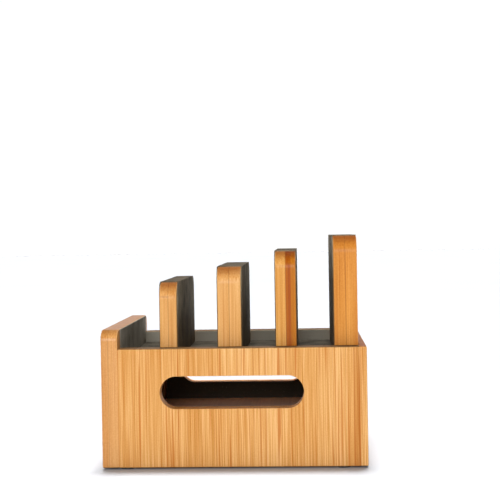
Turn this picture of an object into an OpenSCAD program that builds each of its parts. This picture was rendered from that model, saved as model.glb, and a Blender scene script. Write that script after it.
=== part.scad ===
// A bamboo charging station organizer for a desk. An open box of glued boards
// hides a charger, and cables leave it by a long round-ended slot in each side.
// A dock lifts out of the box: a deck board with four upright dividers that rise
// in steps from the front lip to the back. Grey lining covers what a device leans on.
//
// Frame: +X runs from the front lip to the back, Y across the width, +Z up.
// The origin is on the desk, under the middle of the box.

/* [Box] */
// Outside length of the box, from the front face to the back face
station_depth = 131; // [116:1:220]
// Outside width of the box
station_width = 110; // [80:1:260]
// Height of the side and back boards
side_h = 58.7; // [52:0.1:110]
// How far the front board stands above the side boards
lip_rise = 9.3; // [2:0.1:30]
// Thickness of the front and side boards
board_t = 8.3; // [7:0.1:14]
// Thickness of the back board
back_t = 3.4; // [2.5:0.1:6]
// Radius of the rounded top corners of the lip
lip_corner_r = 5.5; // [2:0.5:12]

/* [Cable slots] */
// Distance from the front face to the front end of a slot
slot_front_margin = 29; // [24:0.5:45]
// Distance from the back face to the back end of a slot
slot_back_margin = 31; // [24:0.5:45]
// Height of a slot
slot_h = 16; // [8:0.1:19]
// Wood left between a slot and the level of the deck's underside
slot_head = 0.4; // [0.2:0.1:3]

/* [Floor] */
// Clear height under the floor board
floor_rise = 12.5; // [11:0.5:15]
// Thickness of the floor board
floor_t = 7; // [4:0.5:9]
// Depth of the grooves that hold the floor board
groove_d = 3; // [1.5:0.5:4]

/* [Dock] */
// Drop from the top of the side boards to the lined surface of the deck
deck_drop = 6; // [3:0.5:12]
// Thickness of the deck board
deck_t = 7; // [5:0.5:10]
// Gap round the dock, so that it lifts freely
dock_gap = 0.4; // [0.3:0.1:1]
// Depth of the grooves in the deck that hold the dividers
dado_d = 3; // [1.5:0.5:3.5]
// Clear width of the channel in front of the first divider, from the edge of the deck
front_channel = 19; // [12:0.1:24]
// Height of the first divider's wood above the bottom of the side boards
divider_h = 90.6; // [76:0.1:140]
// How much higher each divider is than the one in front of it
divider_step = 7.4; // [0:0.1:15]
// Thickness of the first divider's wood
divider_1_t = 8.5; // [7:0.1:14]
// Thickness of the second divider's wood
divider_2_t = 11.7; // [7:0.1:14]
// Thickness of the third divider's wood
divider_3_t = 10.2; // [7:0.1:14]
// Thickness of the fourth divider's wood
divider_4_t = 11.7; // [7:0.1:14]
// Radius of the rounded top corners of the dividers
divider_corner_r = 8.5; // [3:0.5:14]

/* [Lining] */
// Thickness of the grey lining
lining_t = 0.4; // [0.3:0.1:1]
// Bare wood left above the lining inside the box
lining_reveal = 0.2; // [0.1:0.1:2]
// Bare wood left at each end of a divider, beside its lining
lining_inset = 2; // [1:0.5:4]

/* [Corner posts] */
// Side of a square corner post
post_w = 12; // [8:0.5:14]

/* [Fasteners] */
// Radius of a dowel
dowel_r = 2.5; // [2:0.1:3]
// Length of a dowel
dowel_len = 16; // [12:0.5:18]
// Length of a dowel inside the front board
dowel_in_front = 5; // [4:0.5:6]
// Distance of the dowels from the top and the bottom of a side board
dowel_edge = 7; // [5:0.5:8]
// Radius of a back pin
pin_r = 0.8; // [0.5:0.1:1]
// Length of a back pin
pin_len = 14; // [10:0.5:18]
// Distance of the outer back pins from the top and the bottom of a side board
pin_edge = 8; // [5:0.5:9]
// Radius of a screw's shank
screw_r = 1.5; // [1:0.1:1.8]
// Radius of a screw's head
screw_head_r = 3; // [2.4:0.1:3.4]
// Height of a screw's head
screw_head_h = 1.8; // [1:0.1:2]
// Length of a screw
screw_len = 20; // [14:0.5:30]
// Distance of the screws from the ends of a divider
screw_inset = 22; // [14:1:30]
// Radial gap between a fastener and its hole
hole_gap = 0.05; // [0.02:0.01:0.1]

/* [Feet] */
// Radius of a foot pad
foot_r = 3.4; // [2.5:0.1:3.5]
// Thickness of a foot pad
foot_t = 0.8; // [0.5:0.1:3]
// Distance from the middle of a foot pad to the front or the back face
foot_inset = 12; // [8:0.5:20]

/* [Hidden] */
$fn = 64;

bamboo = [0.86, 0.62, 0.38];
bamboo_dark = [0.78, 0.54, 0.31];
lining_grey = [0.27, 0.26, 0.24];

// Outside faces of the box and the levels of its boards
front_x = -station_depth / 2;
back_x = station_depth / 2;
side_y = station_width / 2;
base_z = foot_t;
side_top_z = base_z + side_h;
lip_top_z = side_top_z + lip_rise;

// Inside faces of the boards
inner_front_x = front_x + board_t;
inner_back_x = back_x - back_t;
inner_y = side_y - board_t;
joint_y = side_y - board_t / 2;

// Levels of the floor and of the deck
floor_z = base_z + floor_rise;
floor_top_z = floor_z + floor_t;
mat_top_z = side_top_z - deck_drop;
deck_top_z = mat_top_z - lining_t;
deck_z = deck_top_z - deck_t;

// The dock's outline in plan
deck_front_x = inner_front_x + lining_t + dock_gap;
deck_back_x = inner_back_x - dock_gap;
deck_y = inner_y - lining_t - dock_gap;

// The dividers' wood, from the front one to the back one, which stands at the deck's back edge
divider_ts = [divider_1_t, divider_2_t, divider_3_t, divider_4_t];
divider_count = len(divider_ts);
first_divider_x = deck_front_x + front_channel + lining_t;
last_divider_x = deck_back_x - divider_4_t;
divider_pitch = (last_divider_x - first_divider_x) / (divider_count - 1);
function divider_x(i) = first_divider_x + i * divider_pitch;
function divider_top_z(i) = base_z + divider_h + i * divider_step;
function divider_mid_x(i) = divider_x(i) + divider_ts[i] / 2;

// The last divider has no lining on its back, because nothing leans there
function back_lining_t(i) = i < divider_count - 1 ? lining_t : 0;
function wrap_front_x(i) = divider_x(i) - lining_t;
function wrap_back_x(i) = divider_x(i) + divider_ts[i] + back_lining_t(i);
screw_y = deck_y - screw_inset;

// The cable slots
slot_r = slot_h / 2;
slot_z = deck_z - slot_head - slot_r;
slot_front_x = front_x + slot_front_margin;
slot_back_x = back_x - slot_back_margin;

// Cuts run this far past the face that they break through
past = 1;

// An upright board across the width with its two top corners rounded.
// Its front bottom edge lies on the Y axis.
module round_top_board(thickness, width, height, r) {
    rotate([90, 0, 90])
    linear_extrude(thickness) {
        translate([-width / 2, 0]) square([width, height - r]);
        translate([r - width / 2, 0]) square([width - 2 * r, height]);
        for (side = [-1, 1])
            translate([side * (width / 2 - r), height - r]) circle(r);
    }
}

// A bar of round-ended section that runs through both side boards
module slot_cut() {
    translate([0, side_y + past, slot_z])
    rotate([90, 0, 0])
    linear_extrude(station_width + 2 * past) {
        translate([slot_front_x + slot_r, -slot_r])
            square([slot_back_x - slot_front_x - slot_h, slot_h]);
        translate([slot_front_x + slot_r, 0]) circle(slot_r);
        translate([slot_back_x - slot_r, 0]) circle(slot_r);
    }
}

// Dowels across the joints between the front board and the side boards
module dowel_rods(gap) {
    for (side = [-1, 1], z = [base_z + dowel_edge, side_top_z - dowel_edge])
        translate([inner_front_x - dowel_in_front - gap, side * joint_y, z])
        rotate([0, 90, 0])
        cylinder(h = dowel_len + 2 * gap, r = dowel_r + gap);
}

// Headless pins through the back board into the ends of the side boards
module pin_rods(gap) {
    for (side = [-1, 1], z = [base_z + pin_edge, base_z + side_h / 2, side_top_z - pin_edge])
        translate([back_x - pin_len - gap, side * joint_y, z])
        rotate([0, 90, 0])
        cylinder(h = pin_len + gap, r = pin_r + gap);
}

// Countersunk screws up through the deck board into the dividers
module screw_shapes(gap) {
    for (i = [0 : divider_count - 1], side = [-1, 1])
        translate([divider_mid_x(i), side * screw_y, deck_z]) {
            cylinder(h = screw_len + gap, r = screw_r + gap);
            cylinder(h = screw_head_h, r1 = screw_head_r + gap, r2 = screw_r + gap);
        }
}

// The floor board, which is also the shape of its grooves
module floor_slab() {
    translate([inner_front_x - groove_d, -inner_y - groove_d, floor_z])
        cube([inner_back_x - inner_front_x + groove_d, 2 * (inner_y + groove_d), floor_t]);
}

// Front board, which stands above the sides as a lip
module front_wall() {
    color(bamboo)
    difference() {
        translate([front_x, 0, base_z])
            round_top_board(board_t, station_width, side_h + lip_rise, lip_corner_r);
        floor_slab();
        dowel_rods(hole_gap);
    }
}

// Thin back board over the ends of the sides
module back_wall() {
    color(bamboo)
    difference() {
        translate([inner_back_x, -side_y, base_z]) cube([back_t, station_width, side_h]);
        pin_rods(hole_gap);
    }
}

// One side board with its cable slot; side is 1 on the left and -1 on the right
module side_board(side) {
    color(bamboo)
    difference() {
        translate([inner_front_x, side * joint_y - board_t / 2, base_z])
            cube([inner_back_x - inner_front_x, board_t, side_h]);
        slot_cut();
        floor_slab();
        dowel_rods(hole_gap);
        pin_rods(hole_gap);
    }
}

// Floor board of the charger's space, held in grooves
module floor_board() {
    color(bamboo_dark) floor_slab();
}

// Square post in a corner of the box, which carries the dock
module corner_post(x, side) {
    color(bamboo_dark)
    translate([x, side * (inner_y - post_w / 2) - post_w / 2, floor_top_z])
        cube([post_w, post_w, deck_z - floor_top_z]);
}

// Lining on the inside of a side board: it runs between the corner posts down to the
// floor board, goes round the cable slot, and spans the whole board above the posts
module side_liner(side) {
    sheet_l = inner_back_x - inner_front_x;
    sheet_top_z = side_top_z - lining_reveal;
    color(lining_grey)
    difference() {
        translate([inner_front_x, side * (inner_y - lining_t / 2) - lining_t / 2, 0]) {
            translate([0, 0, deck_z]) cube([sheet_l, lining_t, sheet_top_z - deck_z]);
            translate([post_w, 0, floor_top_z])
                cube([sheet_l - 2 * post_w, lining_t, sheet_top_z - floor_top_z]);
        }
        slot_cut();
    }
}

// Lining on the inside of the front board
module front_liner() {
    color(lining_grey)
    translate([inner_front_x, -inner_y + lining_t, deck_z])
        cube([lining_t, 2 * (inner_y - lining_t), lip_top_z - lining_reveal - deck_z]);
}

// Four thin pads under the side boards
module foot_pads() {
    color("dimgray")
    for (x = [front_x + foot_inset, back_x - foot_inset], side = [-1, 1])
        translate([x, side * joint_y, 0]) cylinder(h = foot_t, r = foot_r);
}

// Wooden core of a divider, down to the bottom of its groove in the deck
module divider_core(i) {
    translate([divider_x(i), 0, deck_top_z - dado_d])
        round_top_board(
            divider_ts[i], 2 * deck_y, divider_top_z(i) - deck_top_z + dado_d, divider_corner_r
        );
}

// A divider's wood, with pilot holes for its screws
module divider(i) {
    color(bamboo)
    difference() {
        divider_core(i);
        screw_shapes(hole_gap);
    }
}

// One upright sheet of a divider's lining, set back from the divider's ends
module divider_sheet(x, i) {
    translate([x, 0, deck_top_z])
        round_top_board(
            lining_t, 2 * (deck_y - lining_inset), divider_top_z(i) + lining_t - deck_top_z,
            max(divider_corner_r - lining_inset, lining_t)
        );
}

// Lining over the front and the top of a divider, and over its back but on the last one
module divider_wrap(i) {
    color(lining_grey) {
        divider_sheet(wrap_front_x(i), i);
        if (back_lining_t(i) > 0) divider_sheet(wrap_back_x(i) - lining_t, i);
        translate([wrap_front_x(i), divider_corner_r - deck_y, divider_top_z(i)])
            cube([wrap_back_x(i) - wrap_front_x(i), 2 * (deck_y - divider_corner_r), lining_t]);
    }
}

// Lining on the deck in the channel in front of a divider
module channel_mat(i) {
    start_x = i == 0 ? deck_front_x : wrap_back_x(i - 1);
    color(lining_grey)
    translate([start_x, -deck_y, deck_top_z])
        cube([wrap_front_x(i) - start_x, 2 * deck_y, lining_t]);
}

// Deck board with grooves for the dividers
module deck_board() {
    color(bamboo_dark)
    difference() {
        translate([deck_front_x, -deck_y, deck_z])
            cube([deck_back_x - deck_front_x, 2 * deck_y, deck_t]);
        for (i = [0 : divider_count - 1]) divider_core(i);
        screw_shapes(hole_gap);
    }
}

front_wall();
back_wall();
side_board(1);  // side_left
side_board(-1);  // side_right
floor_board();
corner_post(inner_front_x, 1);  // post_front_left
corner_post(inner_front_x, -1);  // post_front_right
corner_post(inner_back_x - post_w, 1);  // post_back_left
corner_post(inner_back_x - post_w, -1);  // post_back_right
front_liner();  // liner_front
side_liner(1);  // liner_left
side_liner(-1);  // liner_right
color("burlywood") dowel_rods(0);  // dowels
color("silver") pin_rods(0);  // back_pins
foot_pads();  // feet
deck_board();
divider(0);  // divider_1
divider(1);  // divider_2
divider(2);  // divider_3
divider(3);  // divider_4
divider_wrap(0);  // divider_wrap_1
divider_wrap(1);  // divider_wrap_2
divider_wrap(2);  // divider_wrap_3
divider_wrap(3);  // divider_wrap_4
channel_mat(0);  // channel_mat_1
channel_mat(1);  // channel_mat_2
channel_mat(2);  // channel_mat_3
channel_mat(3);  // channel_mat_4
color("silver") screw_shapes(0);  // dock_screws
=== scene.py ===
"""Dressed model of a bamboo charging station organizer.

The station is an open box of edge-glued bamboo boards with a round-ended cable slot
in each side, and a dock that lifts out of it: a deck with four upright dividers, each
lined in grey where a device leans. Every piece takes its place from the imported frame:
+X runs from the front lip to the back, Y across the width and +Z up, in metres.
"""

import logging
import math
from collections.abc import Callable, Iterable, Mapping
from dataclasses import dataclass
from enum import Enum

import bmesh
import bpy
from mathutils import Matrix, Vector


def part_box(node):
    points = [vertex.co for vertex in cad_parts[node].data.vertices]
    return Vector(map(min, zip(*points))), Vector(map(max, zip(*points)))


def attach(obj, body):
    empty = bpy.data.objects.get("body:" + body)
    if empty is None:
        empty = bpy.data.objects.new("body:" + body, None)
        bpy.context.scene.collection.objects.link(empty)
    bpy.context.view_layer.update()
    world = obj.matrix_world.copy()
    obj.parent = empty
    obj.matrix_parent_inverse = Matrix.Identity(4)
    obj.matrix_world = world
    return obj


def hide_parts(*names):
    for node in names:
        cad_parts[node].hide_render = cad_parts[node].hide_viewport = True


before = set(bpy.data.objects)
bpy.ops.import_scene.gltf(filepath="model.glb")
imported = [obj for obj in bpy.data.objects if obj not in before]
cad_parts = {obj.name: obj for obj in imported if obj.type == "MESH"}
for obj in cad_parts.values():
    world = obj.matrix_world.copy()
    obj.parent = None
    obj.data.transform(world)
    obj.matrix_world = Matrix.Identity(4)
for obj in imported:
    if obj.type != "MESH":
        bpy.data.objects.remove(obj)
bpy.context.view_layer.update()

logging.basicConfig(level=logging.INFO, format="%(levelname)s %(name)s: %(message)s")
log = logging.getLogger("organizer")

MM = 0.001

# Sizes that show only in the dressed pieces, in metres
BOARD_EASE = 0.6 * MM
SLOT_EASE = 0.35 * MM
DIVIDER_EASE = 0.4 * MM
EDGE_SEGMENTS = 3
LIP_CORNER_RADIUS = 5.5 * MM
DIVIDER_CORNER_RADIUS = 8.5 * MM
CORNER_SEGMENTS = 14
LINING_EASE = 0.15 * MM
HAIR = 0.01 * MM

Colour = tuple[float, float, float]
Feed = float | tuple[float, ...] | bpy.types.NodeSocket
Shaper = Callable[[bmesh.types.BMesh], None]
WHITE: Colour = (1.0, 1.0, 1.0)


class Axis(Enum):
    """An axis of the shared frame."""

    X = 0
    Y = 1
    Z = 2


def screen(red: float, green: float, blue: float) -> Colour:
    """Turns a colour as a screen shows it into linear light.

    Args:
        red: Red from 0 to 255.
        green: Green from 0 to 255.
        blue: Blue from 0 to 255.

    Returns:
        The three linear values from 0 to 1.
    """

    def linear(value: float) -> float:
        """Linear light of one screen value."""
        part = value / 255
        return part / 12.92 if part <= 0.04045 else ((part + 0.055) / 1.055) ** 2.4

    return linear(red), linear(green), linear(blue)


class NodeGraph:
    """Builds the node tree of one material around a Principled shader."""

    def __init__(self, name: str) -> None:
        """Starts an empty material.

        Args:
            name: Name of the material.
        """
        self.material = bpy.data.materials.new(name)
        self.material.use_nodes = True
        self.tree = self.material.node_tree
        self.tree.nodes.clear()
        output = self.add("ShaderNodeOutputMaterial")
        self.shader = self.add("ShaderNodeBsdfPrincipled")
        self.tree.links.new(self.shader.outputs["BSDF"], output.inputs["Surface"])

    def feed(self, socket: bpy.types.NodeSocket, value: Feed) -> None:
        """Links a socket to another one, or sets its value.

        Args:
            socket: The input to feed.
            value: An output socket, or a constant.
        """
        if isinstance(value, bpy.types.NodeSocket):
            self.tree.links.new(value, socket)
        elif isinstance(value, tuple) and socket.type == "RGBA":
            socket.default_value = (*value, 1.0)
        else:
            socket.default_value = value

    def add(
        self, kind: str, feeds: Mapping[str, Feed] | None = None, **settings: object
    ) -> bpy.types.Node:
        """Adds a node.

        Args:
            kind: Type name of the node.
            feeds: Values or sockets for its inputs, by name.
            **settings: Properties of the node.

        Returns:
            The new node.
        """
        node = self.tree.nodes.new(kind)
        for key, value in settings.items():
            setattr(node, key, value)
        for key, value in (feeds or {}).items():
            self.feed(node.inputs[key], value)
        return node

    def finish(self, **values: Feed) -> bpy.types.Material:
        """Feeds the shader's inputs.

        Args:
            **values: Input names, with underscores for spaces, and what feeds them.

        Returns:
            The finished material.
        """
        for key, value in values.items():
            self.feed(self.shader.inputs[key.replace("_", " ")], value)
        return self.material

    def math(self, operation: str, *terms: Feed) -> bpy.types.NodeSocket:
        """Result of one math operation on its terms."""
        node = self.add("ShaderNodeMath", operation=operation)
        for socket, term in zip(node.inputs, terms):
            self.feed(socket, term)
        return node.outputs["Value"]

    def total(self, *terms: Feed) -> bpy.types.NodeSocket:
        """Sum of any number of terms."""
        result = terms[0]
        for term in terms[1:]:
            result = self.math("ADD", result, term)
        return result

    def centred(self, value: Feed, gain: float) -> bpy.types.NodeSocket:
        """A value from 0 to 1, moved to swing about zero and multiplied by gain."""
        return self.math("MULTIPLY", self.math("SUBTRACT", value, 0.5), gain)

    def step(
        self, value: Feed, low: float, high: float, start: float = 0.0, end: float = 1.0
    ) -> bpy.types.NodeSocket:
        """Smooth step of a value.

        Args:
            value: What is mapped.
            low: Value at which the step starts.
            high: Value at which it ends.
            start: Result up to low.
            end: Result from high on.

        Returns:
            The result's socket.
        """
        feeds = {"Value": value, "From Min": low, "From Max": high, "To Min": start, "To Max": end}
        node = self.add("ShaderNodeMapRange", feeds, interpolation_type="SMOOTHSTEP")
        return node.outputs["Result"]

    def vector(self, x: Feed, y: Feed, z: Feed) -> bpy.types.NodeSocket:
        """A vector of three values."""
        return self.add("ShaderNodeCombineXYZ", {"X": x, "Y": y, "Z": z}).outputs["Vector"]

    def stretched(self, vector: Feed, x: float, y: float, z: float) -> bpy.types.NodeSocket:
        """A vector with each part multiplied by its own factor."""
        node = self.add("ShaderNodeVectorMath", operation="MULTIPLY")
        self.feed(node.inputs[0], vector)
        self.feed(node.inputs[1], (x, y, z))
        return node.outputs["Vector"]

    def noise(
        self, vector: Feed, scale: float = 1.0, detail: float = 2.0, roughness: float = 0.5
    ) -> bpy.types.NodeSocket:
        """Noise from 0 to 1.

        Args:
            vector: Where the noise is read.
            scale: How many grains to a unit.
            detail: How many finer layers lie on it.
            roughness: How strong the finer layers are.

        Returns:
            The noise's socket.
        """
        feeds = {"Vector": vector, "Scale": scale, "Detail": detail, "Roughness": roughness}
        return self.add("ShaderNodeTexNoise", feeds).outputs["Fac"]

    def mix(
        self, factor: Feed, first: Feed, second: Feed, blend: str = "MIX"
    ) -> bpy.types.NodeSocket:
        """Mix of two colours.

        Args:
            factor: How much of the second colour shows.
            first: The colour below.
            second: The colour on it.
            blend: How the second colour is laid on.

        Returns:
            The mixed colour's socket.
        """
        node = self.add("ShaderNodeMix", data_type="RGBA", blend_type=blend, clamp_factor=True)
        for name, value in (("Factor_Float", factor), ("A_Color", first), ("B_Color", second)):
            socket = next(s for s in node.inputs if s.identifier == name)
            self.feed(socket, value)
        return next(s for s in node.outputs if s.identifier == "Result_Color")

    def ramp(self, factor: Feed, stops: Iterable[tuple[float, Colour]]) -> bpy.types.NodeSocket:
        """Colour ramp.

        Args:
            factor: Place on the ramp from 0 to 1.
            stops: Place and colour of each stop, in rising order.

        Returns:
            The colour's socket.
        """
        node = self.add("ShaderNodeValToRGB", {"Fac": factor})
        elements = node.color_ramp.elements
        for index, (place, colour) in enumerate(stops):
            element = elements[index] if index < len(elements) else elements.new(place)
            element.position = place
            element.color = (*colour, 1.0)
        return node.outputs["Color"]

    def place(self) -> bpy.types.NodeSocket:
        """Place on the piece, in millimetres of the shared frame."""
        where = self.add("ShaderNodeTexCoord").outputs["Object"]
        return self.stretched(where, 1 / MM, 1 / MM, 1 / MM)

    def parts(self, vector: Feed) -> list[bpy.types.NodeSocket]:
        """The X, Y and Z parts of a vector."""
        return list(self.add("ShaderNodeSeparateXYZ", {"Vector": vector}).outputs)

    def bump(self, height: Feed, strength: float, distance: float) -> bpy.types.NodeSocket:
        """Normal that follows a height.

        Args:
            height: The height from 0 to 1.
            strength: How much of the bump shows.
            distance: The height's full size in metres.

        Returns:
            The normal's socket.
        """
        feeds = {"Height": height, "Strength": strength, "Distance": distance}
        return self.add("ShaderNodeBump", feeds).outputs["Normal"]


@dataclass(frozen=True)
class Band:
    """A strip of the wood with a shade of its own.

    Attributes:
        axis: The way that the strip is measured.
        start: Where it starts, in metres.
        end: Where it stops, in metres.
        shade: What the wood's colour is multiplied by.
        soft: How far its edges fade, in metres.
    """

    axis: Axis
    start: float
    end: float
    shade: Colour
    soft: float = 0.4 * MM


@dataclass(frozen=True)
class BambooFinish:
    """Lacquered bamboo strips, glued edge to edge, as one solid pattern.

    Attributes:
        name: Name of the material.
        grain: The way that the fibres run.
        strips: The way across the strips.
        seed: Number that sets this board's own pattern.
        glue_line: Place of the seam between the two layers, along the third axis, in metres.
        seam: How strongly that seam shows.
        tone: Shift of the whole board towards light, or dark if below zero.
        tint: What the whole board's colour is multiplied by.
        bands: Strips with a shade of their own.
        contrast: How strongly the fine grain shows.
        greyed: How far the wood's colour is mixed towards a pale grey.
        gloss: How much lacquer lies on it.
        shine: How strongly the wood itself reflects.
        end_grain_and_top_shade: What the colour is multiplied by where the fibres are cut. On upright
            boards these faces look up, so it is partly the end grain's own darker colour and partly
            painted shade on the tops and their rounded corners.
    """

    name: str
    grain: Axis
    strips: Axis
    seed: float
    glue_line: float | None = None
    seam: float = 0.6
    tone: float = 0.0
    tint: Colour = WHITE
    bands: tuple[Band, ...] = ()
    contrast: float = 1.0
    greyed: float = 0.0
    gloss: float = 0.12
    shine: float = 0.1
    end_grain_and_top_shade: Colour = screen(152, 130, 108)

    STOPS = (
        (0.0, screen(184, 115, 42)),
        (0.25, screen(200, 136, 65)),
        (0.5, screen(211, 151, 82)),
        (0.75, screen(220, 165, 99)),
        (1.0, screen(231, 180, 118)),
    )
    STRIP_WIDTH = 6.4
    SEAM_WIDTH = 0.16

    def material(self) -> bpy.types.Material:
        """Builds the finish.

        Returns:
            The material.
        """
        graph = NodeGraph(self.name)
        axes = graph.parts(graph.place())
        third = next(a for a in Axis if a not in (self.grain, self.strips))
        across = axes[self.strips.value]
        along = axes[self.grain.value]
        through = axes[third.value]

        wander = graph.noise(graph.vector(
            graph.math("MULTIPLY_ADD", across, 0.03, self.seed),
            graph.math("MULTIPLY", through, 0.03),
            graph.math("MULTIPLY", along, 0.012),
        ))
        across_bent = graph.total(across, graph.centred(wander, 0.8))
        wood = graph.vector(
            graph.math("ADD", across_bent, self.seed * 37.0),
            through,
            graph.math("ADD", along, self.seed * 11.0),
        )

        behind: Feed = 0.0
        if self.glue_line is not None:
            behind = graph.math("GREATER_THAN", through, self.glue_line / MM)
        strip_place = graph.total(
            graph.math("MULTIPLY", across_bent, 1 / self.STRIP_WIDTH),
            graph.math("MULTIPLY", behind, 7.37),
            self.seed * 5.3,
        )
        cell = graph.add(
            "ShaderNodeTexVoronoi",
            {"W": strip_place, "Scale": 1.0, "Randomness": 0.75},
            voronoi_dimensions="1D",
        )
        strip = graph.add("ShaderNodeSeparateColor", {"Color": cell.outputs["Color"]}).outputs
        edge = graph.add(
            "ShaderNodeTexVoronoi",
            {"W": strip_place, "Scale": 1.0, "Randomness": 0.75},
            voronoi_dimensions="1D",
            feature="DISTANCE_TO_EDGE",
        ).outputs["Distance"]

        broad = graph.noise(graph.stretched(wood, 0.08, 0.08, 0.010), detail=1.0)
        streak = graph.noise(graph.stretched(wood, 0.75, 0.75, 0.018), detail=1.0)
        fibre = graph.noise(graph.stretched(wood, 2.3, 2.3, 0.007), detail=0.0)
        short_fibre = graph.noise(graph.stretched(wood, 2.0, 2.0, 0.034), detail=1.0)
        hair = graph.noise(graph.stretched(wood, 1.05, 1.05, 0.011), detail=1.0)
        speck = graph.noise(graph.stretched(wood, 2.2, 2.2, 1.6), detail=1.0)

        tone = graph.total(
            0.5 + self.tone,
            graph.centred(strip["Red"], 0.22),
            graph.centred(broad, 0.9),
            graph.centred(streak, 0.35 * self.contrast),
            graph.centred(fibre, 1.0 * self.contrast),
            graph.centred(short_fibre, 1.2 * self.contrast),
            graph.centred(speck, 0.5),
        )
        colour = graph.ramp(tone, self.STOPS)

        hairs = graph.step(hair, 0.58, 0.67)
        colour = graph.mix(
            graph.math("MULTIPLY", hairs, 0.8 * self.contrast), colour, screen(190, 112, 42)
        )

        seam_gap = self.SEAM_WIDTH / self.STRIP_WIDTH
        joint = graph.math(
            "MULTIPLY", graph.step(edge, seam_gap * 0.3, seam_gap, 1.0, 0.0), strip["Green"]
        )
        colour = graph.mix(graph.math("MULTIPLY", joint, 0.35), colour, screen(146, 86, 34))

        for band in self.bands:
            run = across_bent if band.axis is self.strips else axes[band.axis.value]
            start, end, soft = band.start / MM, band.end / MM, band.soft / MM
            rise = graph.step(run, start - soft, start + soft)
            fall = graph.step(run, end - soft, end + soft, 1.0, 0.0)
            inside = graph.math("MULTIPLY", rise, fall)
            colour = graph.mix(inside, colour, band.shade, "MULTIPLY")
        if self.tint != WHITE:
            colour = graph.mix(1.0, colour, self.tint, "MULTIPLY")
        if self.greyed:
            colour = graph.mix(self.greyed, colour, screen(206, 190, 178))
        if self.glue_line is not None:
            off_line = graph.math("ABSOLUTE", graph.math("SUBTRACT", through, self.glue_line / MM))
            line = graph.step(off_line, 0.04, 0.22, self.seam, 0.0)
            colour = graph.mix(line, colour, screen(136, 80, 32))

        colour, end_grain = self._end_grain_and_top_shade(graph, wood, colour)

        worn = graph.add("ShaderNodeAttribute", attribute_name="eased").outputs["Fac"]
        colour = graph.mix(graph.math("MULTIPLY", worn, 0.10), colour, screen(226, 184, 128))

        rough = graph.total(
            0.42,
            graph.centred(streak, 0.20),
            graph.math("MULTIPLY", end_grain, 0.10),
            graph.math("MULTIPLY", worn, 0.05),
        )
        height = graph.total(
            graph.math("MULTIPLY", short_fibre, 0.6),
            graph.math("MULTIPLY", hairs, -0.5),
            graph.math("MULTIPLY", joint, -0.6),
        )
        return graph.finish(
            Base_Color=colour,
            Roughness=rough,
            Normal=graph.bump(height, 0.35, 0.05 * MM),
            Specular_IOR_Level=self.shine,
            Coat_Weight=self.gloss,
            Coat_Roughness=0.22,
        )

    def _end_grain_and_top_shade(
        self, graph: NodeGraph, wood: Feed, colour: Feed
    ) -> tuple[bpy.types.NodeSocket, bpy.types.NodeSocket]:
        """Darkens and dots the surfaces that cut across the fibres: the end grain's own colour, with
        painted shade where these faces look up.

        Args:
            graph: The graph that is being built.
            wood: Place in the wood, in millimetres across, through and along the fibres.
            colour: The colour so far.

        Returns:
            The colour with the cut ends on it, and how much each place is a cut end.
        """
        normal = graph.add("ShaderNodeTexCoord").outputs["Normal"]
        facing = graph.math("ABSOLUTE", graph.parts(normal)[self.grain.value])
        # Painted shade: the darkening grows smoothly as a face turns towards the fibres, so the rounded
        # tops of upright boards shade off as if lit from the front.
        cut = graph.step(facing, 0.10, 0.95)
        pores = graph.add(
            "ShaderNodeTexVoronoi",
            {"Vector": graph.stretched(wood, 1.7, 1.7, 0.12), "Scale": 1.0},
        ).outputs["Distance"]
        dots = graph.step(pores, 0.10, 0.42, 1.0, 0.0)
        mottle = graph.noise(graph.stretched(wood, 0.9, 0.9, 0.1), detail=3.0, roughness=0.65)
        end_grain_and_top_shade = graph.mix(1.0, colour, self.end_grain_and_top_shade, "MULTIPLY")
        end_grain_and_top_shade = graph.mix(graph.math("MULTIPLY", dots, 0.55), end_grain_and_top_shade, screen(84, 42, 13))
        pale = graph.step(mottle, 0.52, 0.70)
        end_grain_and_top_shade = graph.mix(graph.math("MULTIPLY", pale, 0.3), end_grain_and_top_shade, screen(160, 106, 48))
        return graph.mix(cut, colour, end_grain_and_top_shade), cut


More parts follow.
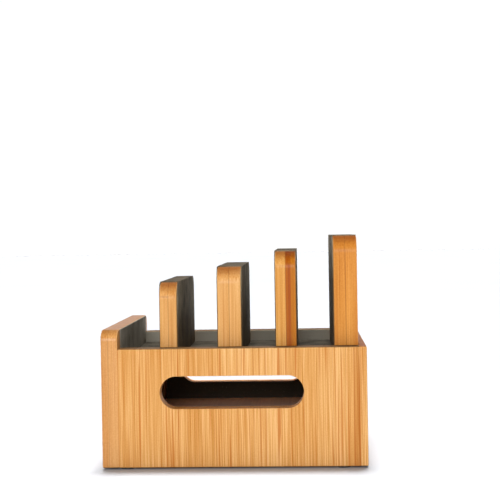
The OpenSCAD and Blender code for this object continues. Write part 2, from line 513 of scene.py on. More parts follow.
@dataclass(frozen=True)
class LiningFinish:
    """Thin dark grey rubber sheet with a fine matte grain.

    Attributes:
        name: Name of the material.
        tone: How light or dark the sheet is.
        tint: What the whole sheet's colour is multiplied by.
        painted_shade_below: Height below which a painted shade darkens the sheet, in metres.
        shade: What the colour is multiplied by below that height, as painted shade.
        soft: Half the height over which the shade fades in, in metres.
        top: What the colour is multiplied by on faces that look up, as painted shade.
    """

    name: str
    tone: float = 0.0
    tint: Colour = WHITE
    painted_shade_below: float | None = None
    shade: Colour = screen(88, 82, 74)
    soft: float = 1.5 * MM
    top: Colour = WHITE

    def material(self) -> bpy.types.Material:
        """Builds the finish."""
        graph = NodeGraph(self.name)
        place = graph.place()
        cloud = graph.noise(graph.stretched(place, 0.09, 0.09, 0.09), detail=3.0, roughness=0.6)
        grain = graph.noise(place, scale=3.2, detail=2.0, roughness=0.7)
        speck = graph.noise(place, scale=1.3, detail=1.0)
        tone = graph.total(
            0.5 + self.tone, graph.centred(cloud, 0.7), graph.centred(grain, 0.6)
        )
        colour = graph.ramp(tone, (
            (0.0, screen(38, 34, 28)),
            (0.5, screen(88, 82, 71)),
            (1.0, screen(168, 162, 148)),
        ))
        if self.tint != WHITE:
            colour = graph.mix(1.0, colour, self.tint, "MULTIPLY")
        # Painted shade: the sheet is darker below a given height.
        if self.painted_shade_below is not None:
            level, soft = self.painted_shade_below / MM, self.soft / MM
            height = graph.parts(place)[Axis.Z.value]
            painted_low_shade = graph.step(height, level - soft, level + soft, 1.0, 0.0)
            colour = graph.mix(painted_low_shade, colour, self.shade, "MULTIPLY")
        # Painted shade on faces that look up.
        if self.top != WHITE:
            normal = graph.add("ShaderNodeTexCoord").outputs["Normal"]
            top_shade_mask = graph.step(graph.parts(normal)[Axis.Z.value], 0.3, 0.95)
            colour = graph.mix(top_shade_mask, colour, self.top, "MULTIPLY")
        lint = graph.step(speck, 0.66, 0.74)
        colour = graph.mix(graph.math("MULTIPLY", lint, 0.25), colour, screen(122, 117, 106))
        worn = graph.add("ShaderNodeAttribute", attribute_name="eased").outputs["Fac"]
        colour = graph.mix(graph.math("MULTIPLY", worn, 0.35), colour, screen(112, 107, 96))
        return graph.finish(
            Base_Color=colour,
            Roughness=graph.total(0.82, graph.centred(grain, 0.2)),
            Normal=graph.bump(graph.total(grain, graph.centred(cloud, 0.6)), 0.5, 0.12 * MM),
            Specular_IOR_Level=0.18,
        )


@dataclass(frozen=True)
class SteelFinish:
    """Plain drawn steel with fine scratches, for pins and screws."""

    name: str

    def material(self) -> bpy.types.Material:
        """Builds the finish."""
        graph = NodeGraph(self.name)
        place = graph.place()
        scratch = graph.noise(graph.stretched(place, 6.0, 0.8, 6.0), detail=3.0, roughness=0.7)
        dull = graph.noise(place, scale=0.6, detail=2.0)
        colour = graph.ramp(dull, (
            (0.3, screen(176, 174, 168)),
            (0.7, screen(206, 205, 200)),
        ))
        return graph.finish(
            Base_Color=colour,
            Metallic=1.0,
            Roughness=graph.total(0.32, graph.centred(scratch, 0.35)),
            Normal=graph.bump(scratch, 0.3, 0.02 * MM),
        )


@dataclass(frozen=True)
class RubberFinish:
    """Dark grey rubber with a fine dusty grain, for the foot pads."""

    name: str

    def material(self) -> bpy.types.Material:
        """Builds the finish."""
        graph = NodeGraph(self.name)
        place = graph.place()
        grain = graph.noise(place, scale=4.0, detail=3.0, roughness=0.7)
        colour = graph.ramp(grain, (
            (0.3, screen(34, 34, 34)),
            (0.7, screen(62, 61, 59)),
        ))
        return graph.finish(
            Base_Color=colour,
            Roughness=graph.total(0.7, graph.centred(grain, 0.2)),
            Normal=graph.bump(grain, 0.4, 0.05 * MM),
        )


@dataclass(frozen=True)
class DeskFinish:
    """Plain pale desk top, off the object."""

    name: str

    def material(self) -> bpy.types.Material:
        """Builds the finish."""
        graph = NodeGraph(self.name)
        cloud = graph.noise(graph.place(), scale=0.004, detail=2.0)
        colour = graph.ramp(cloud, (
            (0.3, (0.482, 0.497, 0.524)),
            (0.7, (0.498, 0.513, 0.540)),
        ))
        return graph.finish(Base_Color=colour, Roughness=0.9, Specular_IOR_Level=0.1)


@dataclass(frozen=True)
class Block:
    """A box between two corners, from which the boards and sheets are cut.

    Attributes:
        low: Lowest corner.
        high: Highest corner.
    """

    low: Vector
    high: Vector

    @classmethod
    def of(cls, node: str) -> "Block":
        """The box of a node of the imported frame."""
        low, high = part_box(node)
        return cls(Vector(low), Vector(high))

    @property
    def size(self) -> Vector:
        """Edge lengths."""
        return self.high - self.low

    @property
    def middle(self) -> Vector:
        """Centre point."""
        return (self.low + self.high) / 2

    def grown(self, x: float = 0.0, y: float = 0.0, z: float = 0.0) -> "Block":
        """The box with each pair of faces moved outwards by its own distance."""
        step = Vector((x, y, z))
        return Block(self.low - step, self.high + step)

    def between(self, axis: Axis, start: float, end: float) -> "Block":
        """The box with new limits on one axis."""
        low, high = self.low.copy(), self.high.copy()
        low[axis.value], high[axis.value] = start, end
        return Block(low, high)

    def draw(self, mesh: bmesh.types.BMesh) -> list[bmesh.types.BMVert]:
        """Adds the box to a mesh.

        Args:
            mesh: Mesh that is being built.

        Returns:
            Its eight corners.
        """
        place = Matrix.Translation(self.middle) @ Matrix.Diagonal((*self.size, 1.0))
        return bmesh.ops.create_cube(mesh, size=1.0, matrix=place)["verts"]


def shared_end(edge: bmesh.types.BMEdge, axis: Axis, level: float) -> bool:
    """Whether both ends of an edge lie at one level of an axis."""
    return all(abs(v.co[axis.value] - level) < HAIR for v in edge.verts)


def flush_joint(*depths: float) -> Callable[[bmesh.types.BMEdge], bool]:
    """Picks the upright edges where a board meets the next one in one plane.

    Args:
        *depths: Where such edges stand along X.

    Returns:
        A test for an edge.
    """

    def meets(edge: bmesh.types.BMEdge) -> bool:
        """Whether the edge stands upright at one of the depths."""
        first, second = (v.co for v in edge.verts)
        upright = abs(first.z - second.z) > MM
        return upright and any(shared_end(edge, Axis.X, depth) for depth in depths)

    return meets


def round_top(mesh: bmesh.types.BMesh, block: Block, radius: float) -> None:
    """Rounds the two top corners of an upright board that stands across the width.

    Args:
        mesh: Mesh that holds the board's box.
        block: The board's box.
        radius: Radius of the corners.
    """
    corners = [
        e for e in mesh.edges
        if shared_end(e, Axis.Z, block.high.z)
        and (shared_end(e, Axis.Y, block.low.y) or shared_end(e, Axis.Y, block.high.y))
    ]
    bmesh.ops.bevel(
        mesh, geom=corners, offset=radius, segments=CORNER_SEGMENTS, profile=0.5,
        affect="EDGES", material=-1,
    )


def ease_edges(
    mesh: bmesh.types.BMesh,
    width: float,
    angle: float = 40.0,
    spare: Callable[[bmesh.types.BMEdge], bool] = lambda edge: False,
) -> None:
    """Rounds sharp edges slightly and marks the new faces as eased.

    Args:
        mesh: Mesh that is being built.
        width: Size of the rounding in metres.
        angle: Edges that turn by more than this many degrees are sharp.
        spare: Says which edges stay as they are.
    """
    layer = mesh.faces.layers.float.get("eased") or mesh.faces.layers.float.new("eased")
    mesh.normal_update()
    sharp = [
        e for e in mesh.edges
        if len(e.link_faces) == 2
        and e.calc_face_angle(0.0) > math.radians(angle)
        and not spare(e)
    ]
    made = bmesh.ops.bevel(
        mesh, geom=sharp, offset=width, segments=EDGE_SEGMENTS, profile=0.5,
        affect="EDGES", material=-1, clamp_overlap=True, loop_slide=False,
    )
    for face in made["faces"]:
        face[layer] = 1.0


@dataclass(frozen=True)
class Piece:
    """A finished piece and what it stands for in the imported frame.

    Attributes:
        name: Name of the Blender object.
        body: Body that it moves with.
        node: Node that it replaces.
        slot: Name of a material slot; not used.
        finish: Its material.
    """

    name: str
    body: str
    node: str
    slot: str
    finish: bpy.types.Material

    def make(self, shape: Shaper, cutters: Iterable[Shaper] = (), ease: float = 0.0) -> None:
        """Builds the piece, rides it on its body and hides the node that it replaces.

        Args:
            shape: Draws the solid into an empty mesh.
            cutters: Each draws a solid that is cut away.
            ease: Rounding of the sharp edges once the cuts are made, in metres.
        """
        solid = self._object(self.name, shape)
        for number, cutter in enumerate(cutters):
            self._carve(solid, self._object(f"{self.name}_cut_{number}", cutter))
        if ease:
            self._redraw(solid, lambda mesh: ease_edges(mesh, ease))
        self._shade(solid)
        solid.data.materials.clear()
        solid.data.materials.append(self.finish)
        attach(solid, self.body)
        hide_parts(self.node)
        log.info("%s: %d faces on %s", self.name, len(solid.data.polygons), self.body)

    @staticmethod
    def _object(name: str, shape: Shaper) -> bpy.types.Object:
        """A new object with the mesh that a shaper draws."""
        mesh = bmesh.new()
        shape(mesh)
        bmesh.ops.recalc_face_normals(mesh, faces=mesh.faces)
        data = bpy.data.meshes.new(name)
        mesh.to_mesh(data)
        mesh.free()
        made = bpy.data.objects.new(name, data)
        bpy.context.scene.collection.objects.link(made)
        return made

    @staticmethod
    def _redraw(solid: bpy.types.Object, change: Shaper) -> None:
        """Changes the mesh of an object with bmesh operators."""
        mesh = bmesh.new()
        mesh.from_mesh(solid.data)
        change(mesh)
        mesh.to_mesh(solid.data)
        mesh.free()

    @staticmethod
    def _carve(solid: bpy.types.Object, cutter: bpy.types.Object) -> None:
        """Cuts one object out of another and removes the cutter.

        Args:
            solid: Object that loses material.
            cutter: Object that is taken away.
        """
        cut = solid.modifiers.new("cut", "BOOLEAN")
        cut.operation = "DIFFERENCE"
        cut.solver = "EXACT"
        cut.object = cutter
        ready = solid.evaluated_get(bpy.context.evaluated_depsgraph_get())
        carved = bpy.data.meshes.new_from_object(ready)
        solid.modifiers.clear()
        solid.data = carved
        bpy.data.objects.remove(cutter)

    def _shade(self, solid: bpy.types.Object) -> None:
        """Shades the piece smoothly, with its flat faces flat and its sharp edges sharp."""

        def mark(mesh: bmesh.types.BMesh) -> None:
            """Joins corners that coincide, and marks the smooth faces and the sharp edges."""
            bmesh.ops.dissolve_degenerate(mesh, dist=HAIR * 0.1, edges=list(mesh.edges))
            for face in mesh.faces:
                face.smooth = True
            for edge in mesh.edges:
                edge.smooth = edge.calc_face_angle(0.0) < math.radians(50.0)

        self._redraw(solid, mark)
        level = solid.modifiers.new("flat_faces", "WEIGHTED_NORMAL")
        level.mode = "FACE_AREA"
        level.weight = 50
        level.keep_sharp = True


def box_shape(block: Block, ease: float = 0.0, joints: tuple[float, ...] = ()) -> Shaper:
    """Shaper of a plain board.

    Args:
        block: The board's box.
        ease: Rounding of its edges, or zero for none.
        joints: Depths along X where its upright edges stay sharp.

    Returns:
        The shaper.
    """

    def shape(mesh: bmesh.types.BMesh) -> None:
        """Draws the board."""
        block.draw(mesh)
        if ease:
            ease_edges(mesh, ease, spare=flush_joint(*joints))

    return shape


def round_top_shape(
    block: Block, radius: float, ease: float, joints: tuple[float, ...] = ()
) -> Shaper:
    """Shaper of an upright board with two round top corners.

    Args:
        block: The board's box.
        radius: Radius of the corners.
        ease: Rounding of all other edges.
        joints: Depths along X where its upright edges stay sharp.

    Returns:
        The shaper.
    """

    def shape(mesh: bmesh.types.BMesh) -> None:
        """Draws the board."""
        block.draw(mesh)
        round_top(mesh, block, radius)
        ease_edges(mesh, ease, spare=flush_joint(*joints))

    return shape


def rod_shape(centre: Vector, axis: Axis, length: float, radii: tuple[float, float]) -> Shaper:
    """Shaper of a straight or tapered rod.

    Args:
        centre: Middle of the rod.
        axis: The way that it runs.
        length: Its length.
        radii: Radius at its low end and at its high end.

    Returns:
        The shaper.
    """

    def shape(mesh: bmesh.types.BMesh) -> None:
        """Draws the rod."""
        turn = Vector((0, 0, 1)).rotation_difference(Vector(a is axis for a in Axis))
        bmesh.ops.create_cone(
            mesh, cap_ends=True, segments=40, radius1=radii[0], radius2=radii[1],
            depth=length, matrix=Matrix.Translation(centre) @ turn.to_matrix().to_4x4(),
        )

    return shape


@dataclass
class CableSlot:
    """The round-ended opening in both side boards.

    Attributes:
        front_x: Front end of the opening.
        back_x: Back end of the opening.
        low_z: Lower edge.
        high_z: Upper edge.
    """

    front_x: float
    back_x: float
    low_z: float
    high_z: float

    SEGMENTS = 64

    @classmethod
    def measured(cls) -> "CableSlot":
        """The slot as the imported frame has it.

        Returns:
            The slot, read from the inner edges of a side board's mesh.
        """
        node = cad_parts["side_right"]
        block = Block.of("side_right")
        outer = [v.co for v in node.data.vertices if abs(v.co.y - block.low.y) < HAIR]
        inside = [
            c for c in outer
            if all(block.low[i] + MM < c[i] < block.high[i] - MM for i in (0, 2))
        ]
        xs = [c.x for c in inside]
        zs = [c.z for c in inside]
        return cls(min(xs), max(xs), min(zs), max(zs))

    @property
    def radius(self) -> float:
        """Radius of the opening's two round parts."""
        return (self.high_z - self.low_z) / 2

    def outline(self, mesh: bmesh.types.BMesh, y: float) -> list[bmesh.types.BMEdge]:
        """Draws the opening as a closed loop of edges.

        Args:
            mesh: Mesh that is being built.
            y: Where the loop stands.

        Returns:
            The loop's edges.
        """
        half_step = math.pi / self.SEGMENTS
        centre = Vector((self.front_x + self.radius, y, self.low_z + self.radius))
        place = (
            Matrix.Translation(centre)
            @ Matrix.Rotation(math.pi / 2, 4, "X")
            @ Matrix.Rotation(half_step, 4, "Z")
        )
        ring = bmesh.ops.create_circle(
            mesh, cap_ends=False, radius=self.radius, segments=self.SEGMENTS, matrix=place
        )["verts"]
        run = self.back_x - self.front_x - 2 * self.radius
        back_half = [v for v in ring if v.co.x > centre.x]
        bmesh.ops.translate(mesh, verts=back_half, vec=(run, 0, 0))
        return list({e for v in ring for e in v.link_edges})

    def panel(self, mesh: bmesh.types.BMesh, block: Block) -> None:
        """Draws an upright panel with the opening through it.

        Args:
            mesh: Mesh that is being built.
            block: The panel's box.
        """
        face = block.between(Axis.Y, block.low.y, block.low.y)
        place = (
            Matrix.Translation(face.middle)
            @ Matrix.Diagonal((face.size.x, 1.0, face.size.z, 1.0))
            @ Matrix.Rotation(math.pi / 2, 4, "X")
        )
        sheet = bmesh.ops.create_grid(
            mesh, x_segments=1, y_segments=1, size=0.5, matrix=place
        )["verts"]
        outer = list({e for v in sheet for e in v.link_edges})
        bmesh.ops.delete(mesh, geom=list(mesh.faces), context="FACES_ONLY")
        inner = self.outline(mesh, block.low.y)
        bmesh.ops.triangle_fill(mesh, use_beauty=True, use_dissolve=True, edges=outer + inner)
        grown = bmesh.ops.extrude_face_region(mesh, geom=list(mesh.faces))["geom"]
        moved = [v for v in grown if isinstance(v, bmesh.types.BMVert)]
        bmesh.ops.translate(mesh, verts=moved, vec=(0, block.size.y, 0))
        bmesh.ops.recalc_face_normals(mesh, faces=mesh.faces)

    def rims(self, edge: bmesh.types.BMEdge) -> bool:
        """Whether an edge lies within the opening's own outline."""
        return all(
            self.front_x - HAIR < v.co.x < self.back_x + HAIR
            and self.low_z - HAIR < v.co.z < self.high_z + HAIR
            for v in edge.verts
        )


@dataclass
class Box:
    """The open box: five boards, four corner posts, its lining and small hardware.

    Attributes:
        slot: The cable slot in the side boards.
        seam_depth: Depth of the front board's glue seam behind its front face.
        streak_width: Width of the darker strip at the back end of a side board.
    """

    slot: CableSlot
    seam_depth: float = 3.6 * MM
    streak_width: float = 3.4 * MM

    BODY = "box"

    def build(self) -> None:
        """Builds all the pieces of the box."""
        self.front_board()
        self.back_board()
        self.side_board("left")
        self.side_board("right")
        self.floor_panel()
        for place in ("front_left", "front_right", "back_left", "back_right"):
            self.corner_post(place)
        for place in ("front", "left", "right"):
            self.lining(place)
        self.back_pins()
        self.foot_pads()
        self.dowels()

    def front_board(self) -> None:
        """Front board with its round-cornered lip."""
        block = Block.of("front_wall")
        finish = BambooFinish(
            "bamboo_front", Axis.Z, Axis.Y, 3.1, glue_line=block.low.x + self.seam_depth,
            seam=0.4, tone=-0.23, contrast=0.55, gloss=0.3, shine=0.3, end_grain_and_top_shade=screen(176, 170, 163),
        )
        piece = Piece("front_lip_board", self.BODY, "front_wall", "bamboo", finish.material())
        piece.make(round_top_shape(block, LIP_CORNER_RADIUS, BOARD_EASE, (block.high.x,)))

    def back_board(self) -> None:
        """Thin back board with a hole for each pin."""
        block = Block.of("back_wall")
        finish = BambooFinish("bamboo_back", Axis.Z, Axis.Y, 8.6)
        piece = Piece("back_board", self.BODY, "back_wall", "bamboo", finish.material())
        holes = [
            rod_shape(centre, Axis.X, 4 * block.size.x, (self.pin_radius() * 1.06,) * 2)
            for centre in self.pin_centres(block.high.x)
        ]
        piece.make(box_shape(block, BOARD_EASE, (block.low.x,)), holes)

    def side_board(self, side: str) -> None:
        """One side board with its cable slot.

        Args:
            side: Either left or right.
        """
        block = Block.of(f"side_{side}")
        seed = {"left": 5.7, "right": 1.4}[side]
        streak = Band(
            Axis.X, block.high.x - self.streak_width, block.high.x + MM, screen(236, 220, 196)
        )
        # Painted shade: a dark line along each side board's top edge.
        top_edge_shade = Band(
            Axis.Z, block.high.z - 0.35 * MM, block.high.z + MM, screen(94, 100, 110), 0.2 * MM
        )
        finish = BambooFinish(
            f"bamboo_side_{side}", Axis.Z, Axis.X, seed, glue_line=block.middle.y,
            bands=(streak, top_edge_shade), tone=0.12, gloss=0.05, end_grain_and_top_shade=screen(252, 244, 228),
        )
        piece = Piece(f"side_board_{side}", self.BODY, f"side_{side}", "bamboo", finish.material())
        joined = flush_joint(block.low.x, block.high.x)

        def shape(mesh: bmesh.types.BMesh) -> None:
            """Draws the board, then eases the slot's rims and the outer edges."""
            self.slot.panel(mesh, block)
            ease_edges(mesh, SLOT_EASE, spare=lambda edge: not self.slot.rims(edge))
            ease_edges(mesh, BOARD_EASE, spare=joined)

        piece.make(shape)

    def floor_panel(self) -> None:
        """Floor board of the charger's space."""
        block = Block.of("floor_board")
        finish = BambooFinish(
            "bamboo_floor", Axis.Y, Axis.X, 12.9, gloss=0.3, greyed=0.66
        )
        piece = Piece("floor_panel", self.BODY, "floor_board", "bamboo", finish.material())
        piece.make(box_shape(block, 0.4 * MM))

    def corner_post(self, place: str) -> None:
        """Square post in one corner of the box.

        Args:
            place: Which corner, such as front_left.
        """
        node = f"post_{place}"
        seed = 15.0 + len(place) + (2.5 if "front" in place else 0.0)
        # Painted shade: the posts' wood is darkened, as they stand in the dark corners inside the box.
        finish = BambooFinish(
            f"bamboo_post_{place}", Axis.Z, Axis.Y, seed, tint=screen(120, 104, 92)
        )
        piece = Piece(f"corner_post_{place}", self.BODY, node, "bamboo", finish.material())
        piece.make(box_shape(Block.of(node), 0.6 * MM))

    def lining(self, place: str) -> None:
        """Grey lining on the inside of one board.

        Args:
            place: Which board: front, left or right.
        """
        node = f"liner_{place}"
        block = Block.of(node)
        # Painted light and shade: the side linings are a lighter copy and the front lining a darker copy
        # of one sheet, and each is darker below the deck.
        finish = LiningFinish(
            f"lining_{place}", 0.3 if place == "front" else 0.6,
            painted_shade_below=Block.of("deck_board").low.z,
        )
        piece = Piece(f"box_lining_{place}", self.BODY, node, "lining", finish.material())
        if place == "front":
            piece.make(box_shape(block, LINING_EASE))
            return
        posts = [
            box_shape(Block.of(f"post_{end}_{place}").grown(y=MM).grown(x=HAIR, z=HAIR))
            for end in ("front", "back")
        ]
        piece.make(lambda mesh: self.slot.panel(mesh, block), posts, LINING_EASE)

    @staticmethod
    def pin_radius() -> float:
        """Radius of a back pin: the pins stand in the middle of the side boards."""
        return Block.of("back_pins").high.y - Block.of("side_left").middle.y

    def pin_centres(self, x: float) -> list[Vector]:
        """Middles of the pins.

        Args:
            x: Depth at which the points are wanted.

        Returns:
            One point for each pin.
        """
        pins = Block.of("back_pins")
        spread = Block.of("side_left").middle.y
        radius = pins.high.y - spread
        rows = (pins.low.z + radius, pins.middle.z, pins.high.z - radius)
        return [Vector((x, side * spread, z)) for side in (-1, 1) for z in rows]

    def back_pins(self) -> None:
        """Steel pins, sunk a little below the back board's face."""
        pins = Block.of("back_pins")
        radius = self.pin_radius()
        sunk = 0.25 * MM
        length = pins.size.x - sunk
        finish = SteelFinish("steel_pins").material()
        piece = Piece("back_pin_set", self.BODY, "back_pins", "steel", finish)

        def shape(mesh: bmesh.types.BMesh) -> None:
            """Draws the pins and rounds their heads."""
            for centre in self.pin_centres(pins.low.x + length / 2):
                rod_shape(centre, Axis.X, length, (radius, radius))(mesh)
            ease_edges(mesh, radius * 0.3, 60.0)

        piece.make(shape)

    def foot_pads(self) -> None:
        """Four thin rubber pads."""
        pads = Block.of("feet")
        board = Block.of("side_left")
        radius = pads.high.y - board.middle.y
        finish = RubberFinish("rubber_feet").material()
        piece = Piece("foot_pad_set", self.BODY, "feet", "rubber", finish)

        def shape(mesh: bmesh.types.BMesh) -> None:
            """Draws the pads and rounds their rims."""
            for x in (pads.low.x + radius, pads.high.x - radius):
                for y in (pads.low.y + radius, pads.high.y - radius):
                    centre = Vector((x, y, pads.middle.z))
                    rod_shape(centre, Axis.Z, pads.size.z, (radius, radius))(mesh)
            ease_edges(mesh, 0.2 * MM, 60.0)

        piece.make(shape)

    def dowels(self) -> None:
        """Hidden dowels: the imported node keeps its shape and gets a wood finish."""
        finish = BambooFinish("dowel_wood", Axis.X, Axis.Y, 21.5, tone=0.05)
        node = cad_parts["dowels"]
        node.data.materials.clear()
        node.data.materials.append(finish.material())
        log.info("dowels: packed node with a wood finish on %s", self.BODY)


@dataclass
class Dock:
    """The part that lifts out: a deck, four lined dividers, mats and screws.

    Attributes:
        divider_count: How many dividers stand on the deck.
        fold_radius: Outer radius of the lining where it folds over a divider's top.
        tones: How light or dark each divider's wood is.
        tints: What each divider's colour is multiplied by.
        core_streak: Where the dark layer of the third divider starts and stops, past its seam.
    """

    divider_count: int = 4
    fold_radius: float = 0.6 * MM
    tones: tuple[float, ...] = (0.16, 0.06, 0.10, 0.04)
    tints: tuple[Colour, ...] = (WHITE, WHITE, screen(252, 245, 212), screen(250, 228, 172))
    core_streak: tuple[float, float] = (0.1 * MM, 6.0 * MM)

    BODY = "dock"

    def build(self) -> None:
        """Builds all the pieces of the dock."""
        self.deck()
        for number in range(1, self.divider_count + 1):
            self.divider(number)
            self.divider_lining(number)
            self.channel_mat(number)
        self.screws()

    def deck(self) -> None:
        """Deck board with a groove under each divider."""
        block = Block.of("deck_board")
        finish = BambooFinish("bamboo_deck", Axis.Y, Axis.X, 18.3, tone=-0.03)
        piece = Piece("deck_panel", self.BODY, "deck_board", "bamboo", finish.material())
        grooves = [
            box_shape(Block.of(f"divider_{number}").grown(y=MM))
            for number in range(1, self.divider_count + 1)
        ]
        piece.make(box_shape(block, 0.5 * MM), grooves)

    def divider(self, number: int) -> None:
        """Wood of one divider: two layers with a seam between them.

        Args:
            number: Which divider, from 1 at the front.
        """
        block = Block.of(f"divider_{number}")
        seam = block.middle.x
        bands: tuple[Band, ...] = ()
        if number == 3:
            start, end = self.core_streak
            bands = (
                Band(Axis.X, seam + start, seam + end, screen(220, 186, 70)),
                Band(Axis.X, seam + start, seam + end * 0.45, screen(234, 206, 170)),
            )
        finish = BambooFinish(
            f"bamboo_divider_{number}", Axis.Z, Axis.Y, 24.0 + 3.7 * number, glue_line=seam,
            tone=self.tones[number - 1], tint=self.tints[number - 1], bands=bands,
            contrast=0.5,
        )
        piece = Piece(
            f"divider_{number}_wood", self.BODY, f"divider_{number}", "bamboo", finish.material()
        )
        piece.make(round_top_shape(block, DIVIDER_CORNER_RADIUS, DIVIDER_EASE))

    def divider_lining(self, number: int) -> None:
        """Lining folded over one divider, in one sheet.

        Args:
            number: Which divider, from 1 at the front.
        """
        node = f"divider_wrap_{number}"
        sheet = Block.of(node)
        wood = Block.of(f"divider_{number}")
        corner = DIVIDER_CORNER_RADIUS - (wood.high.y - sheet.high.y)
        # Painted shade: the sheet darkens towards the deck, and its faces that look up are darker still.
        finish = LiningFinish(
            f"lining_divider_{number}", 0.16, screen(255, 243, 222),
            sheet.high.z - 18 * MM, screen(196, 180, 158), 9 * MM, screen(160, 157, 160),
        )
        piece = Piece(
            f"divider_{number}_lining", self.BODY, node, "lining", finish.material()
        )
        folds_back = sheet.high.x > wood.high.x + HAIR

        def shape(mesh: bmesh.types.BMesh) -> None:
            """Draws the outside of the sheet with its top folds rounded."""
            sheet.draw(mesh)
            round_top(mesh, sheet, corner)
            folds = [
                e for e in mesh.edges
                if e.calc_length() > HAIR
                and shared_end(e, Axis.Z, sheet.high.z)
                and (
                    shared_end(e, Axis.X, sheet.low.x)
                    or (folds_back and shared_end(e, Axis.X, sheet.high.x))
                )
            ]
            bmesh.ops.bevel(
                mesh, geom=folds, offset=self.fold_radius, segments=6, profile=0.5,
                affect="EDGES", material=-1,
            )

        past_back = wood.high.x if folds_back else wood.high.x + MM
        core = wood.between(Axis.X, wood.low.x, past_back)
        core = core.between(Axis.Z, sheet.low.z - MM, wood.high.z)
        shoulder = core.between(Axis.Z, sheet.low.z - MM, sheet.high.z + MM)
        bare = DIVIDER_CORNER_RADIUS
        left = shoulder.between(Axis.Y, wood.high.y - bare, wood.high.y + MM)
        right = shoulder.between(Axis.Y, wood.low.y - MM, wood.low.y + bare)
        cutters = [box_shape(core.grown(y=MM)), box_shape(left), box_shape(right)]
        piece.make(shape, cutters)

    def channel_mat(self, number: int) -> None:
        """Lining on the deck in front of one divider.

        Args:
            number: Which channel, from 1 at the front.
        """
        node = f"channel_mat_{number}"
        # Painted shade: the mats are a darker copy of the lining, as they face up.
        finish = LiningFinish(f"lining_channel_{number}", -0.36)
        piece = Piece(f"channel_{number}_mat", self.BODY, node, "lining", finish.material())
        piece.make(box_shape(Block.of(node), LINING_EASE))

    def screws(self) -> None:
        """Countersunk screws with a cross recess, up through the deck into the dividers."""
        screws = Block.of("dock_screws")
        head_radius = Block.of("divider_1").middle.x - screws.low.x
        shank_radius = head_radius / 2
        head_height = head_radius * 0.6
        rows = (screws.low.y + head_radius, screws.high.y - head_radius)
        spots = [
            Vector((Block.of(f"divider_{number}").middle.x, y, screws.low.z))
            for number in range(1, self.divider_count + 1)
            for y in rows
        ]
        finish = SteelFinish("steel_screws").material()
        piece = Piece("dock_screw_set", self.BODY, "dock_screws", "steel", finish)

        def shape(mesh: bmesh.types.BMesh) -> None:
            """Draws each screw as a turned profile."""
            for spot in spots:
                self._turned_screw(mesh, spot, head_radius, shank_radius, head_height)

        def recess(along: float, across: float) -> Shaper:
            """One arm of the crosses that are pressed into the heads."""
            reach = Vector((along, across, head_height * 0.5))

            def arms(mesh: bmesh.types.BMesh) -> None:
                """Draws that arm at every screw."""
                for spot in spots:
                    Block(spot - reach, spot + reach).draw(mesh)

            return arms

        arm, web = head_radius * 0.62, head_radius * 0.13
        piece.make(shape, [recess(arm, web), recess(web, arm)])

    @staticmethod
    def _turned_screw(
        mesh: bmesh.types.BMesh, spot: Vector, head: float, shank: float, height: float
    ) -> None:
        """Turns one screw about its own axis.

        Args:
            mesh: Mesh that is being built.
            spot: Middle of the head's flat face.
            head: Radius of the head.
            shank: Radius of the shank.
            height: Height of the head.
        """
        length = Block.of("dock_screws").size.z
        path = (
            (0.0, 0.0),
            (head, 0.0),
            (head, height * 0.08),
            (shank, height),
            (shank, length * 0.86),
            (0.0, length),
        )
        points = [mesh.verts.new(spot + Vector((r, 0, z))) for r, z in path]
        lines = [mesh.edges.new(pair) for pair in zip(points, points[1:])]
        bmesh.ops.spin(
            mesh, geom=points + lines, cent=spot, axis=(0, 0, 1), angle=2 * math.pi,
            steps=32, use_merge=True,
        )
        bmesh.ops.remove_doubles(mesh, verts=list(mesh.verts), dist=HAIR * 0.1)


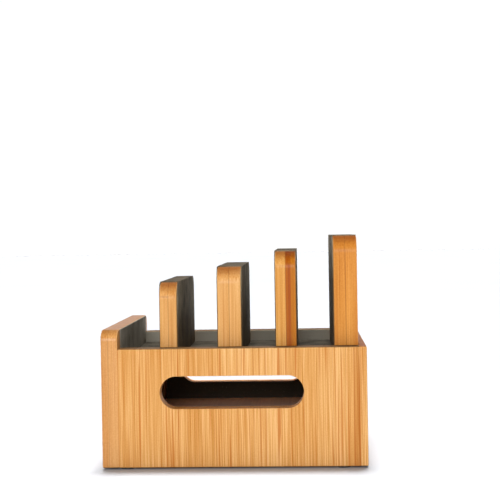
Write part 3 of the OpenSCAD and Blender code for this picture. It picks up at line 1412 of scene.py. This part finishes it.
@dataclass
class Studio:
    """Camera, soft light and a pale desk.

    Attributes:
        camera_place: Where the camera stands, in metres.
        yaw: How far it is turned to the left of +Y, in degrees.
        pitch: How far it looks down, in degrees.
        roll: How far it is tipped clockwise, in degrees.
        lens: Focal length in millimetres on a sensor 36 mm wide.
    """

    camera_place: tuple[float, float, float] = (0.0350, -0.6150, 0.1159)
    yaw: float = 2.64
    pitch: float = 0.87
    roll: float = 0.96
    lens: float = 82.47

    def build(self) -> None:
        """Sets up the view, the lights and the desk."""
        self.camera()
        self.surroundings()
        self.lights()
        self.desk()
        look = bpy.context.scene.view_settings
        look.view_transform = "Standard"
        look.look = "None"

    def camera(self) -> None:
        """Camera at the photograph's angle."""
        lens = bpy.data.cameras.new("camera")
        lens.lens = self.lens
        lens.sensor_width = 36.0
        lens.clip_start = 0.02
        lens.clip_end = 30.0
        made = bpy.data.objects.new("camera", lens)
        level = math.pi / 2 - math.radians(self.pitch)
        made.matrix_world = (
            Matrix.Translation(self.camera_place)
            @ Matrix.Rotation(math.radians(self.yaw), 4, "Z")
            @ Matrix.Rotation(level, 4, "X")
            @ Matrix.Rotation(-math.radians(self.roll), 4, "Z")
        )
        bpy.context.scene.collection.objects.link(made)
        bpy.context.scene.camera = made

    @staticmethod
    def surroundings() -> None:
        """White surroundings that are bright along the horizon and dimmer above."""
        world = bpy.data.worlds.new("soft_tent")
        world.use_nodes = True
        tree = world.node_tree
        where = tree.nodes.new("ShaderNodeTexCoord")
        split = tree.nodes.new("ShaderNodeSeparateXYZ")
        fade = tree.nodes.new("ShaderNodeMapRange")
        fade.interpolation_type = "SMOOTHSTEP"
        horizon_ends, ceiling_starts = 0.21, 0.36
        horizon_light, ceiling_light = 1.02, 0.32
        fade.inputs["From Min"].default_value = horizon_ends
        fade.inputs["From Max"].default_value = ceiling_starts
        fade.inputs["To Min"].default_value = horizon_light
        fade.inputs["To Max"].default_value = ceiling_light
        back = tree.nodes["Background"]
        back.inputs["Color"].default_value = (1.0, 1.0, 1.0, 1.0)
        tree.links.new(where.outputs["Generated"], split.inputs["Vector"])
        tree.links.new(split.outputs["Z"], fade.inputs["Value"])
        tree.links.new(fade.outputs["Result"], back.inputs["Strength"])
        bpy.context.scene.world = world

    def lights(self) -> None:
        """Soft light from overhead, tipped a little from behind, and a low front softbox."""
        top = bpy.data.lights.new("overhead_light", "SUN")
        top.energy = 5.45
        top.angle = math.radians(14.5)
        made = bpy.data.objects.new("overhead_light", top)
        made.matrix_world = Matrix.Rotation(math.radians(-10.5), 4, "X")
        made.visible_glossy = False
        bpy.context.scene.collection.objects.link(made)
        self._softbox("front_softbox", (-0.10, -1.60, 0.50), (0.0, 0.0, 0.05), (0.6, 0.5), 12.0)

    @staticmethod
    def _softbox(
        name: str,
        place: tuple[float, float, float],
        target: tuple[float, float, float],
        size: tuple[float, float],
        watts: float,
    ) -> None:
        """Adds a rectangular area light.

        Args:
            name: Name of the light.
            place: Where it hangs, in metres.
            target: What it points at.
            size: Its width and height.
            watts: Its power.
        """
        data = bpy.data.lights.new(name, "AREA")
        data.shape = "RECTANGLE"
        data.size, data.size_y = size
        data.energy = watts
        made = bpy.data.objects.new(name, data)
        aim = Vector(target) - Vector(place)
        made.matrix_world = Matrix.Translation(place) @ aim.to_track_quat("-Z", "Y").to_matrix().to_4x4()
        bpy.context.scene.collection.objects.link(made)

    @staticmethod
    def desk() -> None:
        """Plain pale surface that the station stands on."""
        half_size = 6.0
        sunk = 0.05 * MM
        mesh = bmesh.new()
        bmesh.ops.create_grid(
            mesh, x_segments=1, y_segments=1, size=half_size,
            matrix=Matrix.Translation((0, 0, -sunk)),
        )
        data = bpy.data.meshes.new("desk_top")
        mesh.to_mesh(data)
        mesh.free()
        data.materials.append(DeskFinish("desk_surface").material())
        made = bpy.data.objects.new("desk_top", data)
        bpy.context.scene.collection.objects.link(made)


def main() -> None:
    """Builds the whole scene, sub-assembly by sub-assembly."""
    Studio().build()
    Box(CableSlot.measured()).build()
    Dock().build()


if __name__ == "__main__":
    main()
